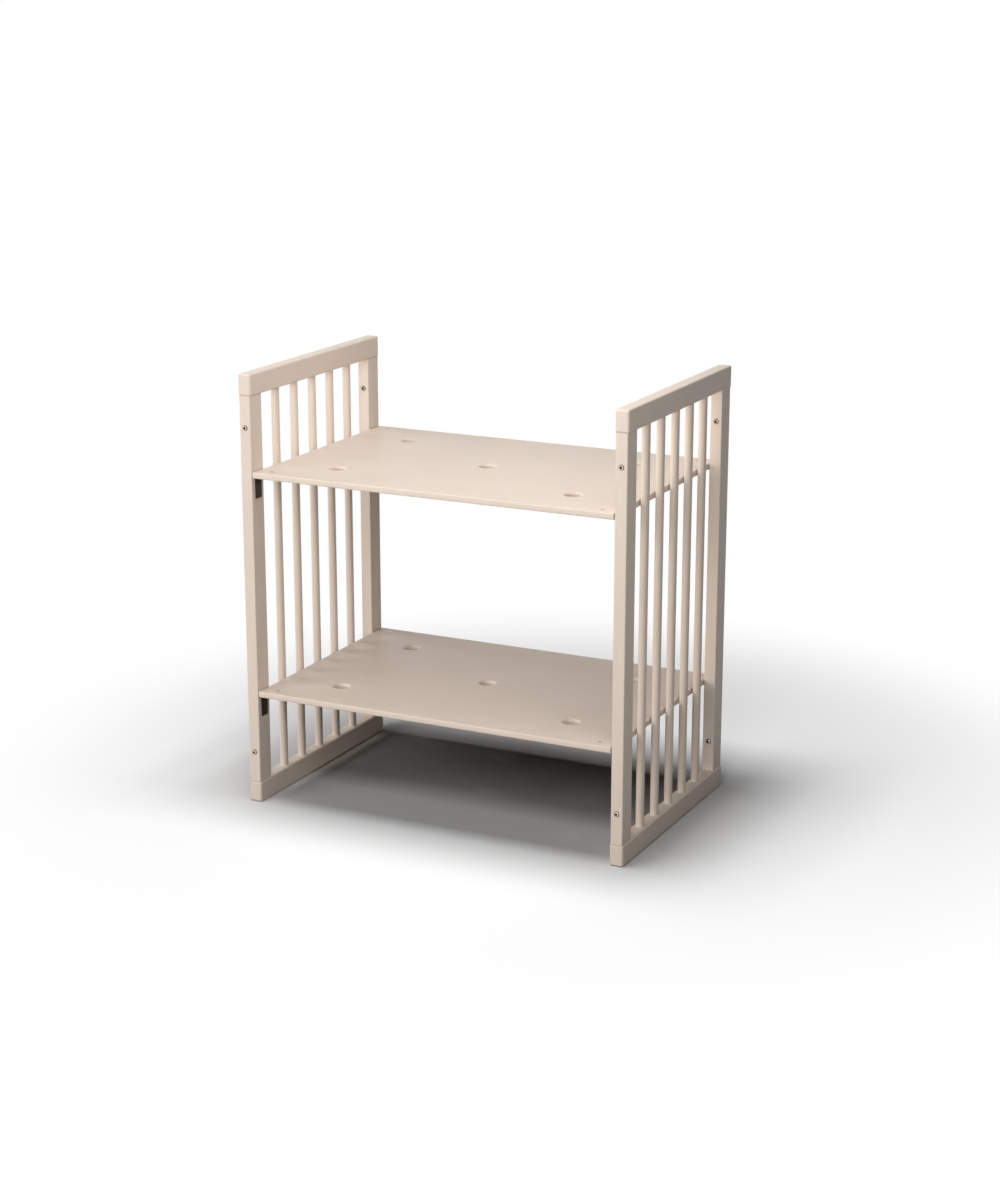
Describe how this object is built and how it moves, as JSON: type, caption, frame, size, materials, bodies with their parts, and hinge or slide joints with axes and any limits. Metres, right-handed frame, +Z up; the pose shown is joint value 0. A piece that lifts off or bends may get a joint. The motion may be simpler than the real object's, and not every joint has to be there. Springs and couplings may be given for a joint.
{
  "type": "convertible crib",
  "caption": "Slatted end panels of a convertible crib with vented boards on angle brackets between them, set up as an open rack.",
  "frame": {"origin": "on the floor, in the middle of the box over the two end panels", "axes": "+Z up, +X from the left panel to the right panel, +Y from front to rear"},
  "size_m": [0.808, 0.5033, 0.86],
  "materials": {
    "lacquered_wood": "beige satin lacquer",
    "lacquered_board": "beige satin lacquer on board",
    "bare_wood": "bare beech",
    "bracket_steel": "dark powder coat",
    "bolt_steel": "nickel-plated steel",
    "cap_plastic": "matte beige plastic"
  },
  "bodies": {
    "frame": {"left_bottom_rail": "lacquered_wood", "left_top_rail": "lacquered_wood", "left_front_post": "lacquered_wood", "left_rear_post": "lacquered_wood", "left_spindle_1": "lacquered_wood", "left_spindle_2": "lacquered_wood", "left_spindle_3": "lacquered_wood", "left_spindle_4": "lacquered_wood", "left_spindle_5": "lacquered_wood", "left_tenons": "bare_wood", "left_connector_bolts": "bolt_steel", "left_hole_caps": "cap_plastic", "right_bottom_rail": "lacquered_wood", "right_top_rail": "lacquered_wood", "right_front_post": "lacquered_wood", "right_rear_post": "lacquered_wood", "right_spindle_1": "lacquered_wood", "right_spindle_2": "lacquered_wood", "right_spindle_3": "lacquered_wood", "right_spindle_4": "lacquered_wood", "right_spindle_5": "lacquered_wood", "right_tenons": "bare_wood", "right_connector_bolts": "bolt_steel", "right_hole_caps": "cap_plastic", "upper_bracket_bolts": "bracket_steel", "upper_left_front_bracket": "bracket_steel", "upper_left_rear_bracket": "bracket_steel", "upper_right_front_bracket": "bracket_steel", "upper_right_rear_bracket": "bracket_steel", "lower_bracket_bolts": "bracket_steel", "lower_left_front_bracket": "bracket_steel", "lower_left_rear_bracket": "bracket_steel", "lower_right_front_bracket": "bracket_steel", "lower_right_rear_bracket": "bracket_steel"},
    "upper_shelf": {"upper_board": "lacquered_board", "upper_board_screws": "bolt_steel"},
    "lower_shelf": {"lower_board": "lacquered_board", "lower_board_screws": "bolt_steel"}
  },
  "joints": [
    {"name": "upper_shelf_lift", "type": "slide", "parent": "frame", "child": "upper_shelf", "axis": [0, 0, 1], "range_m": [0, 0.205]},
    {"name": "lower_shelf_lift", "type": "slide", "parent": "frame", "child": "lower_shelf", "axis": [0, 0, 1], "range_m": [0, 0.22]}
  ]
}
